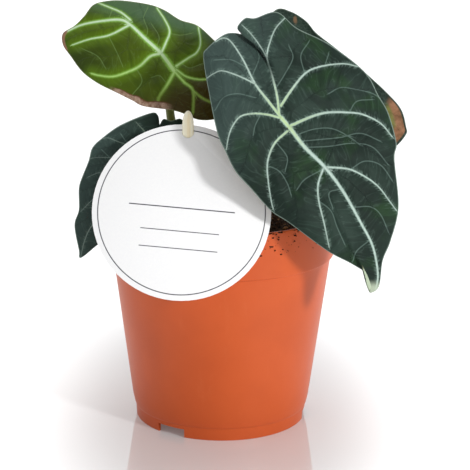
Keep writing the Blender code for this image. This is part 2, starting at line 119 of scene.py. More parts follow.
# The stalks
STALK_STARTS = {"stalk_front": 35, "stalk_back_left": -40, "stalk_left": -130, "stalk_rear": 130}
STALK_ROUTES = {
    "stalk_front": [(9, -14, 142), (19, -31, 163)],
    "stalk_back_left": [(-6.5, -6, 134), (-13, -8, 142), (-23.5, -10, 155), (-28, -8.5, 172)],
    "stalk_left": [(-10, 4, 137), (-24, 4, 149), (-34, -5, 152.5)],
    "stalk_rear": [(10, 5, 142), (30, 5, 160), (49, 9, 175)],
}
STALK_RING = 6.0 * MM
STALK_BASE, STALK_TOP = 2.7 * MM, 2.1 * MM
STALK_STUB, JOINT_GAP = 9.0 * MM, 0.5 * MM
STALK_SIDES = 28
STALK_RINGS = 160
SHEATH = 0.7 * MM
STOCK_TOP = 121.0 * MM

# The card and its stick
CARD_RADIUS = 45.5 * MM
CARD_EDGE = 0.12 * MM
CARD_LEAN = 25
CARD_CENTRE = Vector((-20.6, -57.2, 128.3)) * MM
CARD_TURN = -4.8
RING_SHARE = 0.935
RULED_LINES = ((2.0, 27.0, 0.28), (-10.0, 20.0, 0.22), (-19.0, 20.0, 0.22))
STICK_WIDTH = 5.8 * MM
STICK_THICK = 2.0 * MM
STICK_PLACE = Vector((-17.8, -40.0, 0)) * MM
STICK_TOP = 177.2 * MM
STICK_LENGTH = 92 * MM
STICK_SHOULDER = 7.0 * MM
STICK_SIDES = 48


def linear(red, green, blue):
    """A colour as read off a screen, 0 to 255, in the renderer's linear values."""

    def one(value):
        value /= 255
        return value / 12.92 if value <= 0.04045 else ((value + 0.055) / 1.055) ** 2.4

    return (one(red), one(green), one(blue), 1.0)


# Node graphs


class Value:
    """An output of a material's nodes, with arithmetic that adds the nodes for it."""

    def __init__(self, graph, socket):
        self.graph = graph
        self.socket = socket

    def __add__(self, other):
        return self.graph.math("ADD", self, other)

    def __sub__(self, other):
        return self.graph.math("SUBTRACT", self, other)

    def __mul__(self, other):
        return self.graph.math("MULTIPLY", self, other)

    def __truediv__(self, other):
        return self.graph.math("DIVIDE", self, other)

    def __abs__(self):
        return self.graph.math("ABSOLUTE", self)

    def ramp(self, low, high, to_low=0.0, to_high=1.0):
        """Goes smoothly from to_low, where this value is low, to to_high, where it is high."""
        inputs = {"Value": self, "From Min": low, "From Max": high, "To Min": to_low, "To Max": to_high}
        return self.graph.node("ShaderNodeMapRange", inputs, interpolation_type="SMOOTHSTEP")


class Graph:
    """A material, with a short way to write its nodes."""

    def __init__(self, name):
        self.material = bpy.data.materials.new(name)
        self.material.use_nodes = True
        self.tree = self.material.node_tree
        self.shader = self.tree.nodes["Principled BSDF"]

    def node(self, kind, inputs=(), out=0, **settings):
        """The output of a new node, whose inputs are fed by name or number."""
        made = self.tree.nodes.new(kind)
        for key, value in settings.items():
            setattr(made, key, value)
        for key, value in dict(inputs).items():
            self.feed(made.inputs[key], value)
        return Value(self, made.outputs[out])

    def feed(self, socket, value):
        if isinstance(value, Value):
            self.tree.links.new(value.socket, socket)
        else:
            socket.default_value = value

    def set(self, **sockets):
        for key, value in sockets.items():
            self.feed(self.shader.inputs[key.replace("_", " ")], value)
        return self.material

    def attribute(self, name):
        return self.node("ShaderNodeAttribute", out="Fac", attribute_name=name)

    def math(self, operation, *values):
        return self.node("ShaderNodeMath", enumerate(values), operation=operation)

    def larger(self, a, b):
        return self.math("MAXIMUM", a, b)

    def length(self, x, y):
        return self.math("SQRT", x * x + y * y)

    def vector(self, x, y, z):
        return self.node("ShaderNodeCombineXYZ", enumerate((x, y, z)))

    def vector_math(self, operation, *values, out="Vector"):
        return self.node("ShaderNodeVectorMath", enumerate(values), out, operation=operation)

    def mix(self, factor, below, above):
        """Two colours mixed, each an output or red, green and blue as read off a screen."""
        below, above = (c if isinstance(c, Value) else linear(*c) for c in (below, above))
        inputs = {"Factor": factor, "A": below, "B": above}
        return self.node("ShaderNodeMix", inputs, "Result", data_type="RGBA")

    def paint(self, colour, *coats):
        """A colour with coats over it in turn, each a mask and its colour."""
        for mask, coat in coats:
            colour = self.mix(mask, colour, coat)
        return colour

    def coordinates(self):
        return self.node("ShaderNodeTexCoord", out="Object")

    def place(self, scale=(1, 1, 1), turn=(0, 0, 0)):
        inputs = {"Vector": self.coordinates(), "Scale": scale, "Rotation": turn}
        return self.node("ShaderNodeMapping", inputs)

    def noise(self, scale, detail=2.0, rough=0.5, vector=None, distortion=0.0):
        inputs = {"Vector": vector or self.place(), "Scale": scale, "Detail": detail, "Roughness": rough}
        return self.node("ShaderNodeTexNoise", inputs | {"Distortion": distortion}, "Fac")

    def cells(self, scale, feature="F1"):
        inputs = {"Vector": self.place(), "Scale": scale}
        return self.node("ShaderNodeTexVoronoi", inputs, "Distance", feature=feature)

    def bump(self, height, strength, distance, below=None):
        inputs = {"Strength": strength, "Distance": distance, "Height": height}
        return self.node("ShaderNodeBump", inputs | ({"Normal": below} if below else {}))


# Meshes and pieces


def outward(mesh, weld=False):
    """Turns a closed mesh's faces outward, after joining points that lie together if weld says so."""
    builder = bmesh.new()
    builder.from_mesh(mesh)
    if weld:
        bmesh.ops.remove_doubles(builder, verts=builder.verts, dist=0.01 * MM)
    bmesh.ops.recalc_face_normals(builder, faces=builder.faces)
    builder.to_mesh(mesh)
    builder.free()


def finished(builder, name):
    """The mesh of a bmesh, which is freed."""
    mesh = bpy.data.meshes.new(name)
    builder.to_mesh(mesh)
    builder.free()
    return mesh


def new_mesh(name, points, faces):
    mesh = bpy.data.meshes.new(name)
    mesh.from_pydata([tuple(p) for p in points], [], faces)
    mesh.shade_smooth()
    return mesh


def tube_faces(rings, sides):
    """Faces of a closed tube whose points run ring after ring."""
    faces = []
    for i in range(rings - 1):
        for k in range(sides):
            n = (k + 1) % sides
            faces.append((i * sides + k, i * sides + n, (i + 1) * sides + n, (i + 1) * sides + k))
    faces.append(tuple(range(sides))[::-1])
    faces.append(tuple((rings - 1) * sides + k for k in range(sides)))
    return faces


def new_object(name, data):
    thing = bpy.data.objects.new(name, data)
    bpy.context.scene.collection.objects.link(thing)
    return thing


def as_piece(thing, finishes, node=None):
    """Makes an object a visible piece on the part's one body, in the place of a node if one is named."""
    for finish in finishes:
        thing.data.materials.append(finish)
    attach(thing, "root")
    if node:
        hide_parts(node)


# Leaf drawing


def view_axes():
    down, roll = math.radians(VIEW_DOWN), math.radians(VIEW_ROLL)
    across = Vector((1, 0, 0))
    up = Vector((0, math.sin(down), math.cos(down)))
    return (
        across * math.cos(roll) + up * math.sin(roll),
        up * math.cos(roll) - across * math.sin(roll),
        across.cross(up),
    )


ACROSS_AXIS, UP_AXIS, TOWARDS_AXIS = view_axes()


def smooth_line(points, count):
    known = np.array(points, float)
    ends = np.vstack([2 * known[0] - known[1], known, 2 * known[-1] - known[-2]])
    place = np.linspace(0, len(known) - 1, count)
    i = np.minimum(place.astype(int), len(known) - 2)
    t = (place - i)[:, None]
    a, b, c, d = (ends[i + k] for k in range(4))
    return 0.5 * (2 * b + (c - a) * t + (2 * a - 5 * b + 4 * c - d) * t**2 + (3 * b - a - 3 * c + d) * t**3)


def even_line(points, count):
    fine = smooth_line(points, 40 * len(points))
    steps = np.linalg.norm(np.diff(fine, axis=0), axis=1)
    run = np.concatenate([[0], np.cumsum(steps)])
    places = np.linspace(0, run[-1], count)
    return np.stack([np.interp(places, run, fine[:, k]) for k in range(fine.shape[1])], axis=1)


def ease(t):
    t = np.clip(t, 0.0, 1.0)
    return t * t * (3 - 2 * t)


def bell(t):
    return np.exp(-(t**2))


def rim_of(leaf, count):
    """Run, place and bearing of each point of a leaf's rim, and the even bearing its spoke starts on."""
    closed = even_line(leaf["outline"] + leaf["outline"][:1], count + 1)[:count]
    bearings = np.unwrap(np.arctan2(closed[:, 0], closed[:, 1]))
    run = np.arange(count) / count
    turning = math.copysign(1.0, bearings[-1] - bearings[0])
    whole = bearings[0] + turning * 2 * math.pi
    rising = np.maximum.accumulate(turning * bearings)
    falling = np.minimum.accumulate((turning * bearings)[::-1])[::-1]
    base = turning * (rising + falling) / 2
    right_end = np.interp(LOBE_SHARE, run, base)
    left_end = np.interp(1 - LOBE_SHARE, run, base)
    first, last = run < LOBE_SHARE, run > 1 - LOBE_SHARE
    base[first] = bearings[0] + (right_end - bearings[0]) * run[first] / LOBE_SHARE
    base[last] = left_end + (whole - left_end) * (run[last] - 1 + LOBE_SHARE) / LOBE_SHARE
    spread = max(1, round(TIP_SHARE * count))
    middle = slice(spread, count - spread)
    blurred = np.convolve(base, np.ones(2 * spread + 1) / (2 * spread + 1), mode="same")
    base[middle] = blurred[middle]
    return run, closed, bearings, base


def drawn_grid(leaf):
    """Drawing places of the blade's grid: spokes by rings, the joint left out."""
    around, across = leaf["grid"]
    run, closed, bearings, base = rim_of(leaf, around)
    reach = np.hypot(closed[:, 0], closed[:, 1])[:, None]
    notch_reach = reach[0, 0]
    share = (np.arange(1, across + 1) / across)[None, :]
    in_lobe = (run < LOBE_SHARE) | (run > 1 - LOBE_SHARE)
    start = np.where(in_lobe[:, None], np.minimum(0.8 * notch_reach / reach, 0.9), 0.8)
    turn = base[:, None] + (bearings - base)[:, None] * ease((share - start) / (1 - start))
    radius = share * reach
    x, y = radius * np.sin(turn), radius * np.cos(turn)
    return x, y, np.broadcast_to(share, x.shape), run[:, None] + 0 * x, bearings[:, None] + 0 * x


def relief(leaf, x, y, share, run, bearing):
    """The blade's large shape towards the viewer: its tilt, bow, drooping rim, waves and raised lobes."""
    tilt_x, tilt_y = leaf["tilt"]
    height = tilt_x * x + tilt_y * y
    height = height + leaf["bow"] * (np.hypot(x, y) / 50) ** 2
    height = height - leaf["droop"] * share**4
    height = height + leaf["wave"] * share**3 * np.sin(leaf["waves"] * bearing + leaf["phase"])
    side = np.where(run < 0.5, run, run - 1)
    lobes = np.sin(math.pi * ease(np.abs(side) / 0.14)) * np.sign(side)
    return height + leaf["lift"] * ease((share - 0.3) / 0.5) * lobes


def in_space(leaf, x, y, height):
    """World places, as rows, of drawing places with that relief."""
    joint = np.array(leaf["joint"]) * MM
    eye = np.array(VIEWPOINT)
    across, up, towards = (np.array(axis) for axis in (ACROSS_AXIS, UP_AXIS, TOWARDS_AXIS))
    flat = joint + (x[..., None] * across + y[..., None] * up) * MM
    depth = (eye - joint) @ towards
    return eye + (flat - eye) * (1 - height[..., None] * MM / depth)


class Veins:
    """The veins of a leaf as fine samples, each with its run, half-width and direction."""

    def __init__(self, lines):
        self.samples = []
        for points, start, end in lines:
            length = float(np.linalg.norm(np.diff(np.array(points, float), axis=0), axis=1).sum())
            count = max(12, int(length / VEIN_STEP))
            line = even_line(points, count)
            slope = np.gradient(line, axis=0)
            slope /= np.linalg.norm(slope, axis=1)[:, None]
            offset = 100.0 * len(self.samples)
            for k in range(count):
                t = k / (count - 1)
                half = start + (end - start) * t**0.75
                self.samples.append((*line[k], offset + length * t, half, *slope[k]))
        self.tree = kdtree.KDTree(len(self.samples))
        for k, sample in enumerate(self.samples):
            self.tree.insert((sample[0], sample[1], 0), k)
        self.tree.balance()

    def measure(self, x, y):
        """(distance, run along the vein, half-width, side) at each drawing place."""
        found = np.zeros((x.size, 4))
        for k, (px, py) in enumerate(zip(x.ravel(), y.ravel())):
            _, index, flat = self.tree.find((px, py, 0))
            sx, sy, run, half, dx, dy = self.samples[index]
            along = (px - sx) * dx + (py - sy) * dy
            cross = (px - sx) * dy - (py - sy) * dx
            distance = abs(cross) if abs(along) < 0.4 else flat
            found[k] = (distance, run + along, half, 1.0 if cross > 0 else -1.0)
        return [found[:, i].reshape(x.shape) for i in range(4)]


def wobble(x, y, scale, seed):
    """Smooth noise between about -1 and 1 at each drawing place."""
    flat = [noise.noise(Vector((a / scale, b / scale, seed))) for a, b in zip(x.ravel(), y.ravel())]
    return np.array(flat).reshape(x.shape)


def outward_normals(face, eye):
    """Unit normals of a grid of places, from its own differences, on the side of the eye."""
    round_step = np.roll(face, -1, axis=0) - np.roll(face, 1, axis=0)
    out_step = np.gradient(face, axis=1)
    normal = np.cross(round_step, out_step)
    normal /= np.maximum(np.linalg.norm(normal, axis=2, keepdims=True), 1e-12)
    return -normal if (normal[:, 3].mean(axis=0) @ eye) < 0 else normal


def blade_faces(around, across):
    """(faces, material numbers) of the front, the back and the edge between them: 0, 1 and 2."""
    shift = around * across + 1
    faces, kinds = [], []
    for k in range(around):
        here, there = 1 + k * across, 1 + (k + 1) % around * across
        faces.append((0, here, there))
        faces.append((shift, shift + there, shift + here))
        kinds += [0, 1]
        for i in range(across - 1):
            a, b, c, d = here + i, here + i + 1, there + i + 1, there + i
            faces.append((a, b, c, d))
            faces.append((shift + d, shift + c, shift + b, shift + a))
            kinds += [0, 1]
        a, b = here + across - 1, there + across - 1
        faces.append((a, shift + a, shift + b, b))
        kinds.append(2)
    return faces, kinds


def make_blade(node, leaf, finishes):
    """A leaf blade with both faces and its edge, carrying the vein measurements for its materials."""
    x, y, share, run, bearing = drawn_grid(leaf)
    distance, along, half, side = Veins(leaf["veins"]).measure(x, y)
    fine, _, _, fine_side = Veins([(line, *SMALL_VEIN) for line in leaf["small_veins"]]).measure(x, y)

    groove = bell(distance / (half + 0.9)) * (0.35 + 0.65 * half)
    swell = 1 - bell(np.minimum(distance, fine * 1.4) / 4.5)
    puckers = wobble(x, y, 5.5, leaf["seed"]) * (1 - share**4)
    near_joint = ease(np.hypot(x, y) / 7)
    quilting = swell * 0.9 - groove * 0.8 - bell(fine / 0.8) * 0.28 + 0.35 * puckers
    shaping = leaf["quilt"] * near_joint * quilting * (1 - 0.5 * share**6)
    face = in_space(leaf, x, y, relief(leaf, x, y, share, run, bearing) + shaping)
    middle = in_space(leaf, np.zeros(1), np.zeros(1), np.zeros(1))[0]

    normal = outward_normals(face, np.array(VIEWPOINT) - middle)
    middle_normal = normal[:, 1].mean(axis=0)
    middle_normal /= np.linalg.norm(middle_normal)
    rib = near_joint * bell(distance / (half * 0.8 + 0.35)) * np.minimum(half, 1.2) * 0.7
    front_rib, back_rib = (rib, 0 * rib) if leaf["underside_shows"] else (0 * rib, rib)
    back = face - normal * ((BLADE * (1 - 0.35 * share**8) + back_rib) * MM)[..., None]
    face = face + normal * (front_rib * MM)[..., None]
    middle_back = middle - middle_normal * BLADE * MM

    points = np.vstack([middle[None], face.reshape(-1, 3), middle_back[None], back.reshape(-1, 3)])
    faces, kinds = blade_faces(*leaf["grid"])
    name = node.replace("blade", "leaf")
    mesh = new_mesh(name, points, faces)
    outward(mesh)
    mesh.polygons.foreach_set("material_index", kinds)

    # each measurement on the grid, and its value at the joint
    values = {
        "vein": (distance, 0.0),
        "along": (along, 0.0),
        "half": (half, 1.4),
        "side": (side, 0.0),
        "across_vein": (distance * side, 0.0),
        "fine": (fine, 9.0),
        "across_fine": (fine * fine_side, 9.0),
        "edge": ((1 - share) * np.hypot(x, y) / np.maximum(share, 1e-6), 30.0),
        "drawn_x": (x, 0.0),
        "drawn_y": (y, 0.0),
    }
    for key, (grid, at_joint) in values.items():
        layer = mesh.attributes.new(key, "FLOAT", "POINT")
        one_face = np.concatenate([[at_joint], grid.ravel()])
        layer.data.foreach_set("value", np.concatenate([one_face, one_face]).astype(np.float32))
    as_piece(new_object(name, mesh), finishes, node)


# The leaves as drawn: places in millimetres across and up from the joint, with each main vein's half-width
# at its start and end


def leaf_facts(**facts):
    """A leaf's facts, with what most of these leaves share."""
    return {"wave": 0.9, "waves": 5, "lift": 0.6, "underside_shows": False, "grid": (280, 70)} | facts


FRONT = leaf_facts(
    joint=(29.2, -54.0, 176.9),
    outline=[
        (-7, 29), (-9, 33), (-13, 37), (-18, 42), (-22, 45), (-18, 50), (-13, 50), (-2, 53), (8, 45),
        (24, 37), (42, 23), (49, 11), (54, 2), (58, -13), (57, -21), (59, -45), (55, -62), (51, -72),
        (49, -85), (44, -88), (46, -81), (36, -74), (23, -67), (4, -53), (-5, -47), (-15, -36),
        (-23, -27), (-28, -17), (-32, -8), (-36, 11), (-39, 30), (-37, 35), (-28, 42), (-20, 42),
        (-14, 39), (-10, 33),
    ],
    tilt=(-0.30, -0.16),
    bow=-1.0,
    droop=6.0,
    wave=1.2,
    waves=7,
    phase=0.6,
    lift=1.6,
    grid=(380, 96),
    quilt=1.0,
    seed=3.7,
    veins=[
        ([(0, 0), (5, -6), (12, -15), (22, -25), (31, -37), (40, -53), (46, -65), (48.5, -79), (47, -88)],
         1.45, 0.45),
        ([(0, 0), (-7, 9), (-13, 17), (-19, 29), (-25, 38), (-29, 40), (-33, 38)], 0.95, 0.25),
        ([(-13, 17), (-21.5, 21), (-29.5, 23.5), (-34, 22), (-37, 20)], 0.55, 0.2),
        ([(-1, 2), (-2, 11), (-4.5, 21), (-7, 30), (-5.5, 38), (-2.5, 45), (2, 50)], 0.85, 0.25),
        ([(-7, 30), (-10.5, 36), (-15, 42), (-19, 46)], 0.35, 0.2),
        ([(0, 6), (5, 13.5), (12, 22), (19.5, 25.5), (31, 27), (39, 25.5)], 0.85, 0.3),
        ([(5, -4), (15.5, 0.5), (23.5, 2.5), (33, 2.5), (41, 1.5), (50, -3), (56, -10)], 0.95, 0.3),
        ([(-1, 0), (-7, 1.5), (-14, 2), (-20.5, 0.5), (-24.5, -4.5), (-26.5, -10), (-27.5, -16)],
         0.75, 0.25),
        ([(3, -7), (-2.5, -12), (-5.5, -17.5), (-7, -24), (-6.5, -32), (-5, -42), (-4, -46)], 0.75, 0.25),
        ([(23.5, -25), (34, -26), (42.5, -30), (49, -35), (54, -41.5), (58, -47)], 0.7, 0.25),
        ([(21, -26), (18.5, -34), (19, -42.5), (21.5, -53), (24, -65)], 0.65, 0.25),
    ],
    small_veins=[
        [(7, -9), (16, -6), (25, -5.5), (33, -9), (40, -14)],
        [(9, -12), (20, -11), (30, -10), (40, -8), (50, -12)],
        [(12, -15), (24, -14.5), (36, -13), (46, -15), (54, -24)],
        [(24, 12), (30, 15), (38, 14), (46, 12), (52, 8)], [(38, -45), (45, -45), (50, -49), (54, -58)],
        [(21, -26), (12, -31), (8, -36)], [(-7, -24), (-1, -27), (3, -33), (5, -39)],
        [(19, -42), (25, -47), (28, -55), (32, -64)], [(-2, -13), (3, -20), (2, -27)],
        [(44, -62), (38, -67), (36, -72)], [(-10, 2), (-13, -4), (-14, -9)],
        [(-13, 10), (-22, 12), (-29, 10), (-33, 4)], [(-17, 25), (-25, 29), (-33, 29)],
        [(-3, 14), (2, 22), (6, 30), (4, 36)], [(12, 22), (10, 31), (14, 38)], [(22, 26), (24, 32)],
        [(34, 2), (38, 8), (46, 9)], [(35, -26), (42, -22), (50, -24), (56, -32)],
        [(-14, 22), (-11, 30), (-13, 36)], [(30, -36), (24, -38), (26, -46)],
    ],
)

BACK_LEFT = leaf_facts(
    joint=(-25.4, -15.0, 192.8),
    outline=[
        (22, -4), (29, 3), (27, 10), (20, 17), (12, 24), (3, 27), (-5, 32), (-13, 35), (-26, 37),
        (-34, 37), (-42, 35), (-47, 29), (-52, 24), (-58, 20), (-58, 14), (-54, 8), (-48, 0),
        (-40, -6), (-30, -11), (-22, -15), (-16, -18), (-2, -20), (5, -22), (12, -25), (20, -25),
        (29, -22), (30, -14),
    ],
    tilt=(0.06, -0.42),
    bow=-5.0,
    droop=3.0,
    phase=0.0,
    grid=(320, 76),
    quilt=0.8,
    seed=8.2,
    veins=[
        ([(0, 0), (-7, 9.5), (-15, 17), (-23, 24.5), (-28, 27), (-37, 26.5), (-48, 24.5), (-57, 20.5)],
         1.7, 0.5),
        ([(-7, 9.5), (-12.5, 8), (-18, 3), (-24, 0), (-32, -2.5), (-39, -2), (-43, -1)], 1.0, 0.35),
        ([(-7, 9.5), (-4.5, 15), (-2.5, 21), (-5, 27), (-9, 33)], 0.9, 0.3),
        ([(-24, 24), (-34, 19), (-44, 17), (-53, 14)], 0.8, 0.3),
        ([(-23, 27), (-28, 31), (-35, 34), (-40, 36)], 0.75, 0.3),
        ([(1, 3), (7, 7), (11.5, 10), (13.5, 15), (12.5, 23)], 0.75, 0.3),
        ([(0, 0), (-4, -7), (-8, -13), (-9, -17)], 0.9, 0.5),
        ([(0, 0), (5, -5.5), (9.5, -10), (9.5, -21)], 0.7, 0.4),
        ([(9.5, -10), (14, -13.5), (19, -16), (25, -18)], 0.45, 0.3),
        ([(1, 1), (6, -2.5), (12, -4), (16, -4)], 0.55, 0.3),
    ],
    small_veins=[
        [(-15, 17), (-14, 22), (-16, 28), (-14, 33)], [(-2.5, 20), (3, 19), (9, 20)],
        [(-10, 12), (-8, 18), (-12, 25)], [(-20, 2), (-17, -5), (-22, -12)],
        [(-34, 18), (-30, 10), (-27, 3)], [(-48, 12), (-40, 8), (-36, 2)],
        [(-12, -3), (-8, -2), (-5, -5)], [(-34, 28), (-32, 33)], [(4, 4), (8, 2), (14, 4)],
    ],
)

LEFT = leaf_facts(
    joint=(-36.6, -30.0, 153.4),
    outline=[
        (4, 14), (6, 17), (10, 16), (15, 17), (18, 12), (17, 1), (12, -10), (0, -26), (-6, -33),
        (-22, -44), (-28, -48), (-37, -55), (-38, -51), (-40, -41), (-40, -36), (-38, -30),
        (-38, -20), (-37, -15), (-33, -5), (-31, 2), (-26, 7), (-16, 14), (-1, 20), (3, 19),
    ],
    tilt=(-0.10, -0.05),
    bow=-1.5,
    droop=2.5,
    phase=1.0,
    quilt=0.8,
    seed=1.3,
    veins=[
        ([(0, 0), (-16.5, -20), (-31, -38), (-35, -46), (-37, -54)], 1.2, 0.35),
        ([(0, 0), (-15.5, 4.5), (-22, 7), (-25, 7), (-27, 6)], 0.8, 0.25),
        ([(-3, -3), (-18, -3), (-29, -3), (-33, -4)], 0.6, 0.25),
        ([(-8, -10), (-20, -10), (-28, -11), (-33, -13)], 0.6, 0.25),
        ([(-16, -20), (-26, -22), (-31, -25), (-37, -31)], 0.6, 0.25),
        ([(-5, -6), (0, -12), (2, -20)], 0.6, 0.25),
        ([(-14, -18), (-10, -26), (-10, -34)], 0.6, 0.25),
        ([(0, 0), (8, 4), (14, 12)], 0.7, 0.25),
        ([(0, 0), (-2, 8), (-8, 15)], 0.7, 0.25),
        ([(2, -2), (9, -6), (13, -6)], 0.6, 0.25),
    ],
    small_veins=[
        [(-12, 3), (-16, 9)], [(-22, -3), (-26, 1)], [(-24, -28), (-32, -29)], [(-20, -25), (-20, -36)],
        [(-5, -3), (-4, -14)],
    ],
)

REAR = leaf_facts(
    joint=(53.9, 30.0, 182.2),
    outline=[
        (-20, 7), (-29, 17), (-33, 26), (-25, 37), (-17, 36), (-9, 31), (-3, 24), (10, 14),
        (23, 3), (34, -7), (43, -17), (46, -27), (46, -31), (40, -38), (29, -45), (13, -47),
        (-7, -39), (-20, -28), (-33, -12), (-31, 0),
    ],
    tilt=(-0.20, 0.30),
    bow=1.5,
    droop=-2.5,
    waves=6,
    phase=0.5,
    underside_shows=True,
    quilt=-0.7,
    seed=5.9,
    veins=[
        ([(0, 0), (14, -9), (28, -18), (38, -25), (45, -31)], 1.3, 0.4),
        ([(0, 0), (-8, 10), (-16, 20), (-22, 30)], 0.9, 0.3),
        ([(-1, 1), (-12, 0), (-22, -4), (-29, -8)], 0.8, 0.3),
        ([(4, -3), (6, 4), (9, 11)], 0.6, 0.3),
        ([(12, -8), (20, -4), (27, -3)], 0.6, 0.3),
        ([(24, -15), (34, -14), (40, -16)], 0.6, 0.3),
        ([(2, -2), (-4, -12), (-10, -24), (-12, -32)], 0.8, 0.3),
        ([(10, -7), (10, -18), (12, -30), (10, -42)], 0.7, 0.3),
        ([(22, -14), (26, -24), (28, -34), (26, -42)], 0.6, 0.3),
    ],
    small_veins=[
        [(-6, 8), (-14, 8)], [(-14, -1), (-16, -12)], [(10, -20), (2, -26)], [(18, -12), (18, -26)],
    ],
)


# Leaf materials


def to_line(graph, flat, signed):
    """Distance to a drawn line: exact at the line itself, where the signed one passes through nought."""
    return graph.larger(abs(graph.attribute(signed)), graph.attribute(flat) - 1.0)


def vein_masks(graph, thin=1.0, soft=0.35, spur=1.8):
    """Masks from the blade's measurements: main veins, their middle, small veins, wrinkles and swells."""
    distance = to_line(graph, "vein", "across_vein")
    fine = to_line(graph, "fine", "across_fine")
    along, side = graph.attribute("along"), graph.attribute("side")
    half = graph.attribute("half") * thin
    slant = distance * 0.5 + along
    uneven = graph.noise(1.0, vector=graph.vector(along * 0.7, side, 3.0))
    main = (distance - half * uneven.ramp(0.3, 0.7, 0.78, 1.15)).ramp(soft, -0.3)
    core = (distance - half * 0.5).ramp(0.5, -0.4)
    spurs = graph.noise(1.0, detail=3.0, rough=0.65, vector=graph.vector(slant * 0.8, side * 7.0, 0.5))
    spurs = abs(spurs - 0.5).ramp(0.05, 0.0) * distance.ramp(half + spur, half * 0.8)
    main = graph.larger(main, spurs * 0.62)
    swells = graph.noise(1.0, detail=1.5, vector=graph.vector(slant * 0.26, distance * 0.06, side))
    wrinkles = abs(swells - 0.5).ramp(0.02, 0.0) * distance.ramp(1.0, 2.4)
    return main, core, fine.ramp(0.42, 0.08), wrinkles, swells


def drawn_zone(graph, middle, radii, unevenness):
    """1 inside an oval of the leaf's drawing, 0 outside, with an uneven soft edge."""
    across = (graph.attribute("drawn_x") - middle[0]) / radii[0]
    up = (graph.attribute("drawn_y") - middle[1]) / radii[1]
    return (graph.length(across, up) + graph.noise(190, detail=3) * unevenness).ramp(1.25, 0.85)


def creased(graph, pile_scale, pile_share, crease_scale, crease_share):
    """Height of a leaf's velvety pile and the fine creases in it."""
    pile = graph.noise(pile_scale, detail=2, rough=0.7)
    crease = graph.cells(crease_scale, "DISTANCE_TO_EDGE").ramp(0.0, 0.25)
    return pile * pile_share + crease * crease_share


def velvet_top(name, thin, vein_share, pale_tip):
    """The dark adult leaf from above: green-black velvet with silver feathered veins, a pale edge and a
    painted sheen on its upper left.
    """
    graph = Graph(name)
    main, core, small, wrinkles, swells = vein_masks(graph, thin=thin)
    x, y = graph.attribute("drawn_x"), graph.attribute("drawn_y")
    clouds = graph.noise(36, detail=4, rough=0.6).ramp(0.36, 0.66)
    body = graph.paint(
        graph.mix(clouds, (24, 39, 32), (41, 58, 50)),
        (graph.noise(44, detail=3).ramp(0.54, 0.70) * 0.6, (36, 68, 32)),
        # painted shade: darker where the swells noise is low, in the hollows that its bump makes
        (swells.ramp(0.30, 0.52, 0.45, 0.0), (18, 30, 25)),
        # painted sheen: bluish grey towards the upper left, where the velvet catches the light
        ((y * 0.3 - x).ramp(2.0, 34.0) * 0.62, (68, 86, 82)),
        (wrinkles * 0.10, (112, 138, 126)),
        (small * 0.36, (122, 148, 138)),
    )
    silver = graph.mix(core, (134, 160, 148), (196, 216, 206))
    silver = graph.mix(graph.length(x, y).ramp(26.0, 3.0) * core, silver, (184, 210, 158))
    colour = graph.mix(main * vein_share, body, silver)
    colour = graph.mix(graph.attribute("edge").ramp(0.7, 0.1) * 0.75, colour, (146, 166, 154))
    if pale_tip:
        colour = graph.mix(y.ramp(-81.0, -86.0, 0.0, 0.8), colour, (188, 200, 176))
    height = creased(graph, 2600, 0.4, 330, 0.7)
    return graph.set(
        Base_Color=colour,
        Roughness=0.62,
        Normal=graph.bump(height, 0.25, 0.25 * MM, below=graph.bump(swells, 0.6, 1.6 * MM)),
        Sheen_Weight=0.14,
        Sheen_Roughness=0.45,
        Sheen_Tint=linear(190, 205, 210),
        Specular_IOR_Level=0.14,
    )


def young_top():
    """The young leaf from above: clear yellow-green with whitish veins, a painted sheen at its upper margin
    and painted brown-olive shade at its lower right.
    """
    graph = Graph("young_top")
    main, core, small, wrinkles, swells = vein_masks(graph, thin=1.05, soft=0.9, spur=1.2)
    x, y, edge = (graph.attribute(key) for key in ("drawn_x", "drawn_y", "edge"))
    body = graph.paint(
        graph.mix(graph.noise(30, detail=3).ramp(0.35, 0.68), (44, 60, 0), (70, 90, 0)),
        (graph.attribute("vein").ramp(6.5, 1.0) * 0.6, (92, 126, 4)),
        # painted shade: darker where the swells noise is low, in the hollows that its bump makes
        (swells.ramp(0.3, 0.5, 1.0, 0.0) * 0.35, (40, 62, 0)),
        # painted shade: dark brown-olive towards the lower right, where no light shines through the leaf
        ((x * 0.62 - y).ramp(-6.0, 20.0) * 0.94, (58, 44, 0)),
        # painted sheen: grey-green along the upper margin, where the leaf catches the light
        ((y + x * 0.25).ramp(17.0, 26.0) * 0.8, (72, 104, 72)),
        (wrinkles * 0.08, (140, 176, 110)),
        (small * 0.30, (134, 168, 100)),
    )
    pale = graph.mix(y.ramp(-6.0, 20.0), (178, 218, 120), (214, 240, 206))
    silver = graph.mix(core, (128, 176, 66), pale)
    silver = graph.mix(y.ramp(-4.0, -14.0) * 0.8, silver, (116, 140, 52))
    colour = graph.mix(main, body, silver)
    colour = graph.mix(edge.ramp(0.7, 0.15) * 0.55, colour, (150, 160, 110))

    # the dried lower margin and the brown tip
    low_margin = x.ramp(-36.0, -30.0) * x.ramp(0.0, -6.0) * y.ramp(-7.0, -10.0)
    ragged = edge + (graph.noise(150, detail=3) * 3.0 - 1.5)
    grain = graph.noise(500, detail=4, rough=0.7).ramp(0.35, 0.65)
    crust = graph.mix(grain, (126, 96, 76), (178, 150, 130))
    crust = graph.mix(ragged.ramp(2.6, 3.4), crust, (92, 56, 30))
    colour = graph.mix(low_margin * ragged.ramp(4.0, 3.2), colour, crust)
    colour = graph.mix(x.ramp(-55.0, -56.5) * edge.ramp(2.0, 1.2), colour, (150, 112, 88))
    height = creased(graph, 1500, 0.3, 300, 0.6)
    return graph.set(
        Base_Color=colour,
        Roughness=0.5,
        Normal=graph.bump(height, 0.22, 0.25 * MM, below=graph.bump(swells, 0.5, 1.2 * MM)),
        Sheen_Weight=0.05,
        Sheen_Roughness=0.4,
        Specular_IOR_Level=0.2,
    )


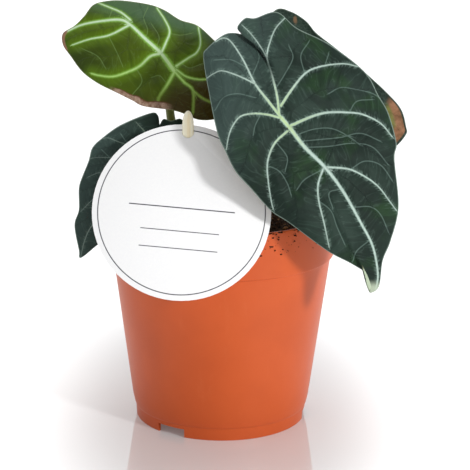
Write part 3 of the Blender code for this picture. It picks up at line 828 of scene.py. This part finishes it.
def leaf_back(name, pale, warm, vein_colour, thin=0.8):
    """A leaf from below, matt and clouded, with raised veins; returned with its graph and colour."""
    graph = Graph(name)
    main, _, small, wrinkles, swells = vein_masks(graph, thin=thin, spur=0.6)
    net = graph.cells(520, "DISTANCE_TO_EDGE").ramp(0.12, 0.0)
    clouds = graph.noise(60, detail=4, rough=0.6).ramp(0.35, 0.7)
    masks = (net * 0.3, wrinkles * 0.25, small * 0.4, main * 0.8)
    colour = graph.paint(graph.mix(clouds, warm, pale), *((mask, vein_colour) for mask in masks))
    height = net * 0.6 + graph.noise(900, detail=2)
    graph.set(
        Base_Color=colour,
        Roughness=0.62,
        Normal=graph.bump(height, 0.3, 0.2 * MM, below=graph.bump(swells, 0.5, 1.2 * MM)),
        Specular_IOR_Level=0.18,
    )
    return graph, colour


def dark_back(name):
    return leaf_back(name, (86, 100, 66), (104, 70, 52), (150, 150, 108))


def front_back():
    """The front leaf's underside, pale at its drawn-out tip."""
    graph, colour = dark_back("front_leaf_back")
    tip = graph.attribute("drawn_y").ramp(-74.0, -78.0)
    return graph.set(Base_Color=graph.mix(tip, colour, (178, 192, 166)))


def rear_underside():
    """The rear leaf as it faces the viewer: dark green, brown at its right margin and in a spot on top."""
    greens = (42, 60, 50), (30, 44, 38), (84, 104, 92)
    graph, colour = leaf_back("rear_leaf_back", *greens, thin=0.5)
    edge = graph.attribute("edge")
    clouds = graph.noise(260, detail=4, rough=0.65).ramp(0.35, 0.65)
    brown = graph.mix(clouds, (160, 116, 86), (126, 92, 64))
    olive = graph.mix(graph.noise(120, detail=2).ramp(0.4, 0.6), (134, 132, 62), (116, 118, 66))
    brown = graph.mix(edge.ramp(6.0, 9.0), brown, olive)
    margin = drawn_zone(graph, (42.0, -24.0), (9.0, 15.0), 0.15)
    colour = graph.mix(margin * edge.ramp(1.0, 1.8), colour, brown)
    colour = graph.mix(drawn_zone(graph, (-14.5, 32.0), (2.6, 4.4), 1.3), colour, (126, 100, 74))
    return graph.set(Base_Color=graph.mix(edge.ramp(0.6, 0.1) * 0.6, colour, (120, 132, 118)))


def leaf_edge(name, colour, tone):
    graph = Graph(name)
    streak = graph.noise(400, detail=3).ramp(0.35, 0.65)
    return graph.set(Base_Color=graph.mix(streak, colour, tone), Roughness=0.5, Specular_IOR_Level=0.35)


# Stalks and rootstock


def on_ring(radius, angle, height=0.0):
    """A place at that turn from the front, in radians, about the pot's axis."""
    return radius * math.sin(angle), -radius * math.cos(angle), height


def polar(radius, degrees, height=0.0):
    return Vector(on_ring(radius, math.radians(degrees), height))


def stalk_finish():
    """A smooth green stalk mottled with brown, browner at its foot."""
    graph = Graph("stalk")
    body = graph.mix(graph.attribute("rise"), (96, 84, 44), (128, 146, 72))
    mottle = graph.noise(420, detail=4, rough=0.7, vector=graph.place(scale=(1, 1, 0.35))).ramp(0.5, 0.62)
    lines = graph.noise(900, detail=2, vector=graph.place(scale=(1, 1, 0.05)))
    return graph.set(
        Base_Color=graph.mix(mottle * 0.6, body, (84, 56, 36)),
        Roughness=0.38,
        Normal=graph.bump(lines, 0.25, 0.2 * MM),
        Specular_IOR_Level=0.45,
    )


def stalk_route(node, leaf):
    """The stalk's middle line in metres, from its foot to just short of its blade."""
    foot = polar(STALK_RING, STALK_STARTS[node], STOCK_TOP + 0.3 * MM)
    corners = np.array([[0.0, 0.0, 0.0], [1.0, 0.0, leaf["tilt"][0]], [0.0, 1.0, leaf["tilt"][1]]])
    joint, beside, above = (Vector(p) for p in in_space(leaf, *corners.T))
    normal = (beside - joint).cross(above - joint).normalized()
    side, skin = (1, 0.0) if leaf["underside_shows"] else (-1, BLADE * MM)
    ends = [joint + normal * side * reach for reach in (STALK_STUB, skin + JOINT_GAP * 0.4)]
    points = [foot, foot + Vector((0, 0, 6 * MM))] + [Vector(p) * MM for p in STALK_ROUTES[node]] + ends
    return even_line([tuple(p) for p in points], STALK_RINGS)


def make_stalk(node, leaf, finish):
    """A round stalk, thicker and grooved at its foot, where its sheath is."""
    path = stalk_route(node, leaf)
    slope = np.gradient(path, axis=0)
    slope /= np.linalg.norm(slope, axis=1)[:, None]
    ring_normal = Vector((1, 0, 0))
    points, rise = [], []
    for k, (place, way) in enumerate(zip(path, slope)):
        t = k / (STALK_RINGS - 1)
        way = Vector(way)
        ring_normal = (ring_normal - way * ring_normal.dot(way)).normalized()
        across = way.cross(ring_normal)
        radius = STALK_BASE + (STALK_TOP - STALK_BASE) * t + SHEATH * max(0.0, 1 - t / 0.3)
        for j in range(STALK_SIDES):
            turn = 2 * math.pi * j / STALK_SIDES
            groove = 1 - 0.10 * max(0.0, 1 - t / 0.34) * math.exp(-(((turn - math.pi) / 0.5) ** 2))
            ripple = 1 + 0.012 * math.sin(5 * turn + 3) + 0.015 * noise.noise(Vector((turn * 2, t * 14, 1.0)))
            reach = radius * groove * ripple
            points.append(Vector(place) + (ring_normal * math.cos(turn) + across * math.sin(turn)) * reach)
            rise.append(t)
    name = node.replace("stalk_", "stalk_to_")
    mesh = new_mesh(name, points, tube_faces(STALK_RINGS, STALK_SIDES))
    layer = mesh.attributes.new("rise", "FLOAT", "POINT")
    layer.data.foreach_set("value", np.array(rise, np.float32))
    as_piece(new_object(name, mesh), [finish], node)


def stock_finish():
    graph = Graph("rootstock")
    bark = graph.noise(260, detail=5, rough=0.7, vector=graph.place(scale=(1, 1, 3)))
    return graph.set(
        Base_Color=graph.mix(bark.ramp(0.35, 0.7), (52, 34, 20), (128, 98, 62)),
        Roughness=0.85,
        Normal=graph.bump(bark, 0.7, 0.6 * MM),
        Specular_IOR_Level=0.2,
    )


# Pot


def pot_profile():
    """(radius, height) up the inside, down the outside and under the foot, with rounded corners."""
    floor_top = FOOT_HEIGHT + POT_FLOOR
    # each corner's radius and height, and how far its rounding reaches in millimetres
    corners = [
        (BODY_FOOT_RADIUS - POT_WALL, floor_top, 2.0),
        (BODY_TOP_RADIUS - POT_WALL, BAND_LOW - 1.5 * MM, 1.0),
        (BAND_LOW_RADIUS - POT_WALL, BAND_LOW + 1.5 * MM, 1.0),
        (RIM_RADIUS - POT_WALL, RIM_TOP, 0.5),
        (RIM_RADIUS, RIM_TOP, 0.7),
        (BAND_LOW_RADIUS, BAND_LOW, 0.5),
        (BODY_TOP_RADIUS, BAND_LOW - 0.3 * MM, 0.35),
        (BODY_FOOT_RADIUS + 0.6 * MM, FOOT_HEIGHT + BODY_CORNER, 2.2),
        (BODY_FOOT_RADIUS - 0.4 * MM, FOOT_HEIGHT + 0.7 * MM, 0.8),
        (FOOT_RADIUS + 0.4 * MM, FOOT_HEIGHT - 0.3 * MM, 0.4),
        (FOOT_RADIUS, 0.0, 0.3),
        (FOOT_RADIUS - POT_WALL, 0.0, 0.3),
        (FOOT_RADIUS - POT_WALL, FOOT_HEIGHT, 0.3),
        (BOSS_RADIUS + 0.5 * MM, FOOT_HEIGHT, 0.3),
        (BOSS_RADIUS, 0.0, 0.2),
    ]
    places = [(0.0, floor_top)] + [corner[:2] for corner in corners] + [(0.0, 0.0)]
    line = places[:1]
    for k, (r, z, blend) in enumerate(corners, start=1):
        here = Vector((r, z))
        before, after = Vector(places[k - 1]) - here, Vector(places[k + 1]) - here
        cut = min(blend * MM, 0.45 * before.length, 0.45 * after.length)
        a, b = here + before.normalized() * cut, here + after.normalized() * cut
        for t in (0, 0.25, 0.5, 0.75, 1):
            p = a * (1 - t) ** 2 + here * 2 * t * (1 - t) + b * t * t
            line.append((p.x, p.y))
    line += places[-1:]
    filled = line[:1]
    for (r0, z0), (r1, z1) in zip(line, line[1:]):
        steps = max(1, int(abs(z1 - z0) / WALL_RING_STEP))
        filled += [(r0 + (r1 - r0) * k / steps, z0 + (z1 - z0) * k / steps) for k in range(1, steps + 1)]
    return filled


def wedge(name, inner, outer, middle, spread, low, high):
    """A block that fills a ring between two radii and two heights over an angle, to cut with."""
    steps = 14
    corners = ((inner, low), (outer, low), (outer, high), (inner, high))
    angles = [middle + spread * (i / steps - 0.5) for i in range(steps + 1)]
    points = [polar(radius, angle, z) for angle in angles for radius, z in corners]
    mesh = new_mesh(name, points, tube_faces(len(angles), len(corners)))
    outward(mesh)
    return new_object(name, mesh)


def terracotta():
    """Injection-moulded terracotta plastic: satin, faintly clouded, with specks and rubbed patches."""
    graph = Graph("terracotta_plastic_pot")
    clouds = graph.noise(24, detail=4, rough=0.55).ramp(0.3, 0.72)
    body = graph.mix(clouds, (198, 84, 34), (207, 90, 38))
    specks = graph.cells(420).ramp(0.10, 0.03) * graph.noise(90, detail=2).ramp(0.58, 0.66)
    body = graph.mix(specks * 0.35, body, (140, 62, 36))
    rub = graph.noise(170, detail=5, rough=0.7, vector=graph.place(scale=(1, 1, 0.25))).ramp(0.55, 0.8)
    smooth = graph.noise(700, detail=3, rough=0.6)
    wave = graph.bump(graph.noise(40, detail=1), 0.05, 0.5 * MM)
    return graph.set(
        Base_Color=graph.mix(rub * 0.07, body, (232, 140, 92)),
        Roughness=smooth * 0.1 + 0.36,
        Normal=graph.bump(smooth, 0.05, 0.1 * MM, below=wave),
        Specular_IOR_Level=0.3,
    )


def pot_cutters():
    """What is cut out of the pot's foot: at each turn a notch, the slit above it and a drain hole."""
    cutters = []
    for k, angle in enumerate(NOTCH_ANGLES):
        inner, outer = FOOT_RADIUS - 4 * MM, FOOT_RADIUS + 6 * MM
        cutters.append(wedge(f"notch_{k}", inner, outer, angle, NOTCH_SPREAD, -2 * MM, NOTCH_HEIGHT))
        inner, outer = FOOT_RADIUS - 5 * MM, FOOT_RADIUS - 2.2 * MM
        low, high = NOTCH_HEIGHT - 2 * MM, FOOT_HEIGHT + SLIT_RISE
        cutters.append(wedge(f"corner_{k}", inner, outer, angle - 5, SLIT_SPREAD, low, high))
        place = polar(DRAIN_PLACE, angle + DRAIN_TURN, 6 * MM)
        bpy.ops.mesh.primitive_cylinder_add(vertices=48, radius=DRAIN_RADIUS, depth=16 * MM, location=place)
        cutters.append(bpy.context.object)
    return cutters


def make_pot(finish):
    """The pot turned from its profile, with its foot cut."""
    builder = bmesh.new()
    rings = []
    for r, z in pot_profile():
        turns = [360 * k / POT_STEPS for k in range(POT_STEPS)] if r else [0]
        rings.append([builder.verts.new(polar(r, turn, z)) for turn in turns])
    for a, b in zip(rings, rings[1:]):
        for k in range(POT_STEPS):
            n = (k + 1) % POT_STEPS
            if len(a) == 1:
                builder.faces.new((a[0], b[n], b[k]))
            elif len(b) == 1:
                builder.faces.new((a[k], a[n], b[0]))
            else:
                builder.faces.new((a[k], a[n], b[n], b[k]))
    bmesh.ops.recalc_face_normals(builder, faces=builder.faces)
    pot = new_object("pot_body", finished(builder, "pot_body"))
    cutters = pot_cutters()
    for cutter in cutters:
        boolean = pot.modifiers.new("cut", "BOOLEAN")
        boolean.object = cutter
        boolean.solver = "EXACT"
    bpy.context.view_layer.update()
    shaped = bpy.data.meshes.new_from_object(pot.evaluated_get(bpy.context.evaluated_depsgraph_get()))
    pot.modifiers.clear()
    pot.data = shaped
    for cutter in cutters:
        bpy.data.objects.remove(cutter)
    shaped.shade_smooth()
    shaped.set_sharp_from_angle(angle=math.radians(35))
    shaped.materials.clear()
    as_piece(pot, [finish], "pot")


# Soil


def soil_height(radius, angle):
    share = radius / (RIM_RADIUS - POT_WALL)
    x, y, _ = on_ring(radius / MM, angle)
    lumps = math.sin(0.43 * x + 1.1) * math.sin(0.39 * y + 0.4) + 0.6 * math.sin(0.83 * x - 0.5 * y + 2.0)
    lumps += 0.5 * math.sin(0.71 * y + 0.9 * x)
    fade = min(1.0, 6 * (1 - share))
    return SOIL_EDGE + SOIL_DOME * (1 - share**2) + 1.0 * MM * lumps * fade


def peat():
    """Dark crumbly peat with paler fibres."""
    graph = Graph("peat")
    grain = graph.noise(650, detail=6, rough=0.75)
    lumps = graph.cells(330)
    colour = graph.mix(grain.ramp(0.35, 0.7), (24, 15, 10), (92, 62, 42))
    colour = graph.mix(lumps.ramp(0.35, 0.7) * 0.6, colour, (20, 12, 8))
    fibre = graph.noise(260, detail=3, rough=0.6, vector=graph.place(scale=(1, 6, 1), turn=(0, 0, 0.6)))
    return graph.set(
        Base_Color=graph.mix(fibre.ramp(0.62, 0.75) * 0.5, colour, (136, 98, 62)),
        Roughness=0.95,
        Normal=graph.bump(grain + lumps * 0.6, 0.9, 1.2 * MM),
        Specular_IOR_Level=0.15,
    )


def make_soil(finish):
    """The soil's upper layer inside the pot, finely crumbled, closed below where the pot hides it."""
    inner = RIM_RADIUS - POT_WALL - 0.5 * MM
    angles = [2 * math.pi * k / SOIL_STEPS for k in range(SOIL_STEPS)]
    points, faces = [], []
    for i in range(SOIL_RINGS + 1):
        radius = inner * (i / SOIL_RINGS)
        edge = min(1.0, 14 * (1 - i / SOIL_RINGS))
        for angle in angles:
            x, y, z = on_ring(radius, angle, soil_height(radius, angle))
            crumbs = noise.multi_fractal(Vector((x / CRUMB_GRAIN, y / CRUMB_GRAIN, 4.0)), 0.9, 2.1, 4)
            points.append((x, y, z + (crumbs - 1.0) * CRUMB_RISE * edge))
    points += [on_ring(inner - 1.6 * MM, angle, SOIL_EDGE - SOIL_DEPTH) for angle in angles]
    for i in range(SOIL_RINGS + 1):
        low, high = i * SOIL_STEPS, (i + 1) * SOIL_STEPS
        for k in range(SOIL_STEPS):
            n = (k + 1) % SOIL_STEPS
            faces.append((low + k, high + k, high + n, low + n))
    faces.append(tuple((SOIL_RINGS + 1) * SOIL_STEPS + k for k in range(SOIL_STEPS))[::-1])
    mesh = new_mesh("soil_top", points, faces)
    outward(mesh, weld=True)
    as_piece(new_object("soil_top", mesh), [finish], "soil")


def make_crumbs(finish, pale_finish):
    """Loose peat crumbs, fibres and bark on the soil, and a few that cling to the pot's rim in front."""
    chance = random.Random(7)
    builder = bmesh.new()

    def lump(place, size, stretch, kind):
        made = bmesh.ops.create_icosphere(builder, subdivisions=1, radius=size)
        round_z, round_x = (Matrix.Rotation(chance.uniform(0, 6.28), 3, axis) for axis in "ZX")
        turn = round_z @ round_x
        for vertex in made["verts"]:
            rough = 1 + 0.35 * noise.noise(vertex.co / size * 1.7 + Vector((place[0] * 900, 0, 0)))
            x, y, z = vertex.co
            vertex.co = Vector(place) + turn @ (Vector((x * stretch, y, z * 0.8)) * rough)
        for face in {face for vertex in made["verts"] for face in vertex.link_faces}:
            face.material_index = kind
            face.smooth = True

    for _ in range(CRUMB_COUNT):
        radius = CRUMB_REACH * math.sqrt(chance.random())
        angle = chance.uniform(0, 2 * math.pi)
        size = chance.uniform(0.25, 0.9) * MM
        place = on_ring(radius, angle, soil_height(radius, angle) + size * 0.3)
        kind = 1 if chance.random() < PALE_CRUMBS else 0
        lump(place, size, chance.uniform(1.0, 2.2), kind)
    for _ in range(CLINGING_COUNT):
        angle = math.radians(chance.uniform(*CLINGING_ARC))
        drop = chance.random() ** 2.6 * CLINGING_DROP
        radius = RIM_RADIUS - (RIM_RADIUS - BAND_LOW_RADIUS) * drop / (RIM_TOP - BAND_LOW) + 0.05 * MM
        size = (0.14 + 0.5 * chance.random() ** 3) * MM
        lump(on_ring(radius, angle, RIM_TOP - drop - 0.4 * MM), size, chance.uniform(1.0, 3.4), 0)
    crumbs = new_object("soil_crumbs", finished(builder, "soil_crumbs"))
    as_piece(crumbs, [finish, pale_finish])


def pale_crumb():
    graph = Graph("bark_crumb")
    streak = graph.noise(900, detail=3)
    return graph.set(
        Base_Color=graph.mix(streak.ramp(0.3, 0.7), (120, 84, 52), (168, 128, 84)),
        Roughness=0.9,
        Normal=graph.bump(streak, 0.5, 0.3 * MM),
        Specular_IOR_Level=0.2,
    )


# Card and stick


def card_finish():
    """White uncoated card: a grey ring near the edge and three plain ruled lines, on the front only."""
    graph = Graph("white_card_front")
    lean, turn = math.radians(CARD_LEAN), math.radians(CARD_TURN)
    across, up = Vector((1, 0, 0)), Vector((0, math.sin(lean), math.cos(lean)))
    shift = graph.vector_math("SUBTRACT", graph.coordinates(), CARD_CENTRE)

    def along(axis):
        return graph.vector_math("DOT_PRODUCT", shift, axis, out="Value") * (1 / MM)

    x = along(across * math.cos(turn) + up * math.sin(turn))
    y = along(up * math.cos(turn) - across * math.sin(turn))
    front = along(across.cross(up)).ramp(0.1, 0.3)
    marks = abs(graph.length(x, y) - CARD_RADIUS / MM * RING_SHARE).ramp(0.36, 0.16)
    for height, half_length, half_width in RULED_LINES:
        level = abs(y - height).ramp(half_width + 0.08, half_width - 0.08)
        span = abs(x).ramp(half_length + 0.2, half_length - 0.2)
        marks = graph.larger(marks, level * span)
    fibre = graph.noise(900, detail=4, rough=0.65)
    tone = graph.mix(fibre.ramp(0.3, 0.7), (249, 249, 250), (252, 252, 252))
    return graph.set(
        Base_Color=graph.mix(marks * front, tone, (62, 62, 74)),
        Roughness=0.55,
        Normal=graph.bump(fibre, 0.04, 0.08 * MM),
        Specular_IOR_Level=0.2,
    )


def make_card(finish):
    """The frame's own disc with its edges rounded."""
    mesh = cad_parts["card"].data.copy()
    mesh.name = "card_round"
    builder = bmesh.new()
    builder.from_mesh(mesh)
    bmesh.ops.remove_doubles(builder, verts=builder.verts, dist=0.01 * MM)
    bmesh.ops.dissolve_limit(builder, angle_limit=math.radians(1), verts=builder.verts, edges=builder.edges)
    sharp = [edge for edge in builder.edges if edge.calc_face_angle(0) > math.radians(40)]
    rounding = {"offset": CARD_EDGE, "segments": 2, "profile": 0.5, "affect": "EDGES", "clamp_overlap": True}
    bmesh.ops.bevel(builder, geom=sharp, **rounding)
    builder.to_mesh(mesh)
    builder.free()
    mesh.materials.clear()
    mesh.shade_smooth()
    mesh.set_sharp_from_angle(angle=math.radians(35))
    as_piece(new_object("card_round", mesh), [finish], "card")


def wood_finish():
    """Pale birch with fine upright grain and pores."""
    graph = Graph("birch_stick")
    grain = graph.noise(420, detail=4, rough=0.6, vector=graph.place(scale=(1, 1, 0.04)), distortion=0.3)
    pores = graph.noise(2400, detail=2, vector=graph.place(scale=(1, 1, 0.06)))
    colour = graph.mix(grain.ramp(0.4, 0.72), (255, 250, 226), (250, 232, 190))
    return graph.set(
        Base_Color=graph.mix(pores.ramp(0.62, 0.72) * 0.3, colour, (214, 180, 130)),
        Roughness=0.6,
        Normal=graph.bump(grain, 0.2, 0.15 * MM),
        Specular_IOR_Level=0.3,
    )


def make_stick(finish):
    """A stick of oval section whose top narrows to a round end."""
    foot = STICK_TOP - STICK_LENGTH
    rings = [(foot, 0.86), (foot + 0.5 * MM, 1.0)] + [(foot + 5 * MM * k, 1.0) for k in range(1, 16)]
    for k in range(17):
        t = math.sin(math.pi / 2 * k / 17)
        rings.append((STICK_TOP - STICK_SHOULDER * (1 - t), math.sqrt(1 - t * t)))
    points = []
    for z, share in rings:
        for k in range(STICK_SIDES):
            turn = 2 * math.pi * k / STICK_SIDES
            across, deep = STICK_WIDTH / 2 * math.cos(turn), STICK_THICK / 2 * math.sin(turn)
            points.append(STICK_PLACE + Vector((across * share, deep * share, z)))
    mesh = new_mesh("stick_round", points, tube_faces(len(rings), STICK_SIDES))
    as_piece(new_object("stick_round", mesh), [finish], "card_stick")


# Assembly

green_edge = leaf_edge("dark_leaf_edge", (112, 138, 122), (72, 92, 78))
young_edge = leaf_edge("young_leaf_edge", (150, 166, 96), (120, 96, 62))
pale_edge = leaf_edge("front_leaf_edge", (132, 154, 140), (98, 118, 104))
left_back, _ = dark_back("dark_leaf_back")
young_back, _ = leaf_back("young_leaf_back", (132, 140, 70), (150, 112, 78), (176, 190, 120))
velvet = velvet_top("front_velvet", thin=0.95, vein_share=1.0, pale_tip=True)
dim_velvet = velvet_top("dim_velvet", thin=0.42, vein_share=0.45, pale_tip=False)
young = young_top()

make_blade("blade_front", FRONT, (velvet, front_back(), pale_edge))
make_blade("blade_back_left", BACK_LEFT, (young, young_back.material, young_edge))
make_blade("blade_left", LEFT, (dim_velvet, left_back.material, green_edge))
make_blade("blade_rear", REAR, (rear_underside(), dim_velvet, green_edge))

stalk = stalk_finish()
for node, leaf in zip(STALK_ROUTES, (FRONT, BACK_LEFT, LEFT, REAR)):
    make_stalk(node, leaf, stalk)

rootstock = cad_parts["rootstock"]
rootstock.data.materials.clear()
rootstock.data.materials.append(stock_finish())

make_pot(terracotta())
earth = peat()
make_soil(earth)
make_crumbs(earth, pale_crumb())
make_card(card_finish())
make_stick(wood_finish())


# Floor, light and camera


def make_stage():
    """A pale glossy floor with a painted glow, brighter away from the plant, that runs up into a wall behind.
    """
    graph = Graph("studio_floor")
    stretched = graph.place(scale=(1.7, 0.75, 1))
    far = graph.vector_math("LENGTH", stretched, out="Value").ramp(0.085, 0.20)
    faint = graph.noise(3, detail=2).ramp(0.3, 0.7)
    graph.set(
        Base_Color=graph.mix(faint, (212, 212, 213), (215, 215, 215)),
        Roughness=0.04,
        IOR=1.8,
        Specular_IOR_Level=1.0,
        # painted glow: the floor and wall emit light, less near the plant so that its shadow and reflection
        # show
        Emission_Color=graph.mix(far, (89, 89, 89), (194, 194, 194)),
        Emission_Strength=1.0,
    )
    side, front, back, rise, bend = 3.0, -2.5, 1.6, 3.2, 0.8
    line = [(front, 0.0), (back, 0.0)]
    for k in range(1, 13):
        turn = math.pi / 2 * k / 12
        line.append((back + bend * math.sin(turn), bend * (1 - math.cos(turn))))
    line.append((back + bend, rise))
    points = [(x, y, z) for y, z in line for x in (-side, side)]
    faces = [(k, k + 1, k + 3, k + 2) for k in range(0, 2 * len(line) - 2, 2)]
    mesh = new_mesh("studio", points, faces)
    mesh.materials.append(graph.material)
    new_object("studio", mesh)


def make_light(name, place, size, power):
    data = bpy.data.lights.new(name, "AREA")
    data.shape = "DISK"
    data.size = size
    data.energy = power
    lamp = new_object(name, data)
    lamp.location = place
    lamp.rotation_euler = (Vector(LIT_MIDDLE) - Vector(place)).to_track_quat("-Z", "Y").to_euler()


def make_camera():
    """The photograph's own view: 15 degrees down from 0.95 m away with a long lens."""
    data = bpy.data.cameras.new("photo_view")
    data.sensor_width = SENSOR
    data.sensor_fit = "HORIZONTAL"
    data.lens = SENSOR * FOCAL_PIXELS / PHOTO_SIZE
    data.clip_start = 0.05
    camera = new_object("photo_view", data)
    level = Matrix.Rotation(math.radians(VIEW_YAW), 3, "Z")
    turn = Matrix([level @ axis for axis in (ACROSS_AXIS, UP_AXIS, TOWARDS_AXIS)]).transposed()
    camera.matrix_world = Matrix.Translation(VIEWPOINT) @ turn.to_4x4()
    bpy.context.scene.camera = camera


make_stage()
for name, (place, size, power) in LIGHTS.items():
    make_light(name, place, size, power)
make_camera()

world = bpy.data.worlds.new("studio_air")
world.use_nodes = True
world.node_tree.nodes["Background"].inputs["Color"].default_value = (1, 1, 1, 1)
world.node_tree.nodes["Background"].inputs["Strength"].default_value = AIR_STRENGTH
bpy.context.scene.world = world
bpy.context.scene.view_settings.view_transform = "Standard"
